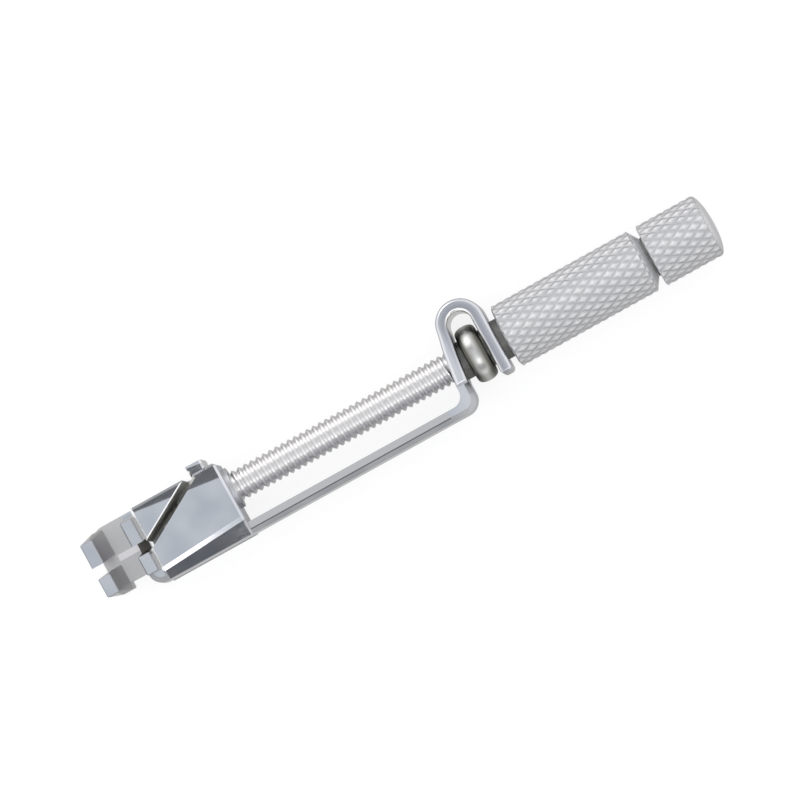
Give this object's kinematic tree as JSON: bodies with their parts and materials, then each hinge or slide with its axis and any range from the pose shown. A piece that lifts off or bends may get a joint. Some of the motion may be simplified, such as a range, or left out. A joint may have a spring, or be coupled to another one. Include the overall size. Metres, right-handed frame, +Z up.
{
  "type": "matrix band retainer",
  "caption": "Straight dental matrix band retainer in polished steel, with a slotted head, a sliding block, a threaded spindle and two knurled knobs.",
  "frame": {"origin": "middle of the footprint, at the level the instrument lies on", "axes": "+X along the spindle from the slotted head to the knobs, +Z up, the way the slots open"},
  "size_m": [0.063, 0.0096, 0.006],
  "materials": {
    "polished_steel": "mirror polished",
    "knurled_steel": "satin with diamond knurl",
    "threaded_steel": "bright cut thread"
  },
  "bodies": {
    "frame": {"frame": "polished_steel"},
    "slide_block": {"slide_block": "polished_steel"},
    "spindle": {"spindle": "threaded_steel"},
    "adjusting_knob": {"adjusting_knob": "knurled_steel", "retaining_collar": "polished_steel"},
    "lock_knob": {"lock_knob": "knurled_steel"}
  },
  "joints": [
    {"name": "block_slide", "type": "slide", "parent": "frame", "child": "slide_block", "axis": [1, 0, 0], "range_m": [0, 0.02]},
    {"name": "adjusting_turn", "type": "hinge", "parent": "frame", "child": "adjusting_knob", "pos_m": [0.0177, -0.0003, 0.003], "axis": [1, 0, 0], "range_deg": [-11340, 0]},
    {"name": "spindle_advance", "type": "slide", "parent": "slide_block", "child": "spindle", "axis": [1, 0, 0], "range_m": [0, 0.00254]},
    {"name": "lock_turn", "type": "hinge", "parent": "spindle", "child": "lock_knob", "pos_m": [0.028, -0.0003, 0.003], "axis": [1, 0, 0], "range_deg": [0, 1441]}
  ],
  "couplings": [
    {"joint": "adjusting_turn", "follows": "block_slide", "rad_per_m": -9894.8},
    {"joint": "lock_turn", "follows": "spindle_advance", "rad_per_m": 9894.8}
  ]
}
